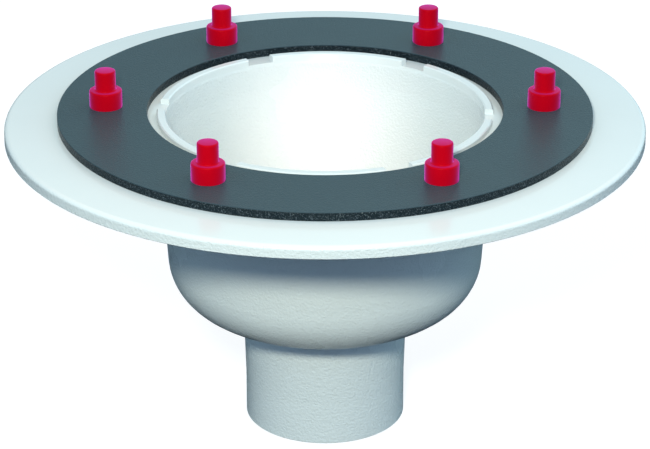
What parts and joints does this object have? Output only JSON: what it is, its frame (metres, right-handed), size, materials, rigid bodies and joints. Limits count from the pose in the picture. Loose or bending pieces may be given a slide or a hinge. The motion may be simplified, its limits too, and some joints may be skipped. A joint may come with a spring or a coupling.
{
  "type": "floor drain",
  "caption": "Cast floor drain body with a wide round flange, a bolted clamping ring under pull-off stud caps, a notched inlet rim, a rounded bowl and a straight outlet spigot.",
  "frame": {"origin": "centre of the outlet spigot's end, on the plane that the drain stands on", "axes": "+Z along the axis of revolution, from the outlet up to the inlet; +X through the first stud and its cap"},
  "size_m": [0.4312, 0.4312, 0.2535],
  "materials": {
    "coated_casting": "satin",
    "dark_ring": "satin",
    "zinc_steel": "satin",
    "red_plastic": "gloss"
  },
  "bodies": {
    "drain": {"drain_body": "coated_casting", "clamping_ring": "dark_ring", "studs": "zinc_steel", "nuts": "zinc_steel"},
    "cap_1": {"cap_1": "red_plastic"},
    "cap_2": {"cap_2": "red_plastic"},
    "cap_3": {"cap_3": "red_plastic"},
    "cap_4": {"cap_4": "red_plastic"},
    "cap_5": {"cap_5": "red_plastic"},
    "cap_6": {"cap_6": "red_plastic"}
  },
  "joints": [
    {"name": "cap_1_pull", "type": "slide", "parent": "drain", "child": "cap_1", "axis": [0, 0, 1], "range_m": [0, 0.03]},
    {"name": "cap_2_pull", "type": "slide", "parent": "drain", "child": "cap_2", "axis": [0, 0, 1], "range_m": [0, 0.03]},
    {"name": "cap_3_pull", "type": "slide", "parent": "drain", "child": "cap_3", "axis": [0, 0, 1], "range_m": [0, 0.03]},
    {"name": "cap_4_pull", "type": "slide", "parent": "drain", "child": "cap_4", "axis": [0, 0, 1], "range_m": [0, 0.03]},
    {"name": "cap_5_pull", "type": "slide", "parent": "drain", "child": "cap_5", "axis": [0, 0, 1], "range_m": [0, 0.03]},
    {"name": "cap_6_pull", "type": "slide", "parent": "drain", "child": "cap_6", "axis": [0, 0, 1], "range_m": [0, 0.03]}
  ]
}
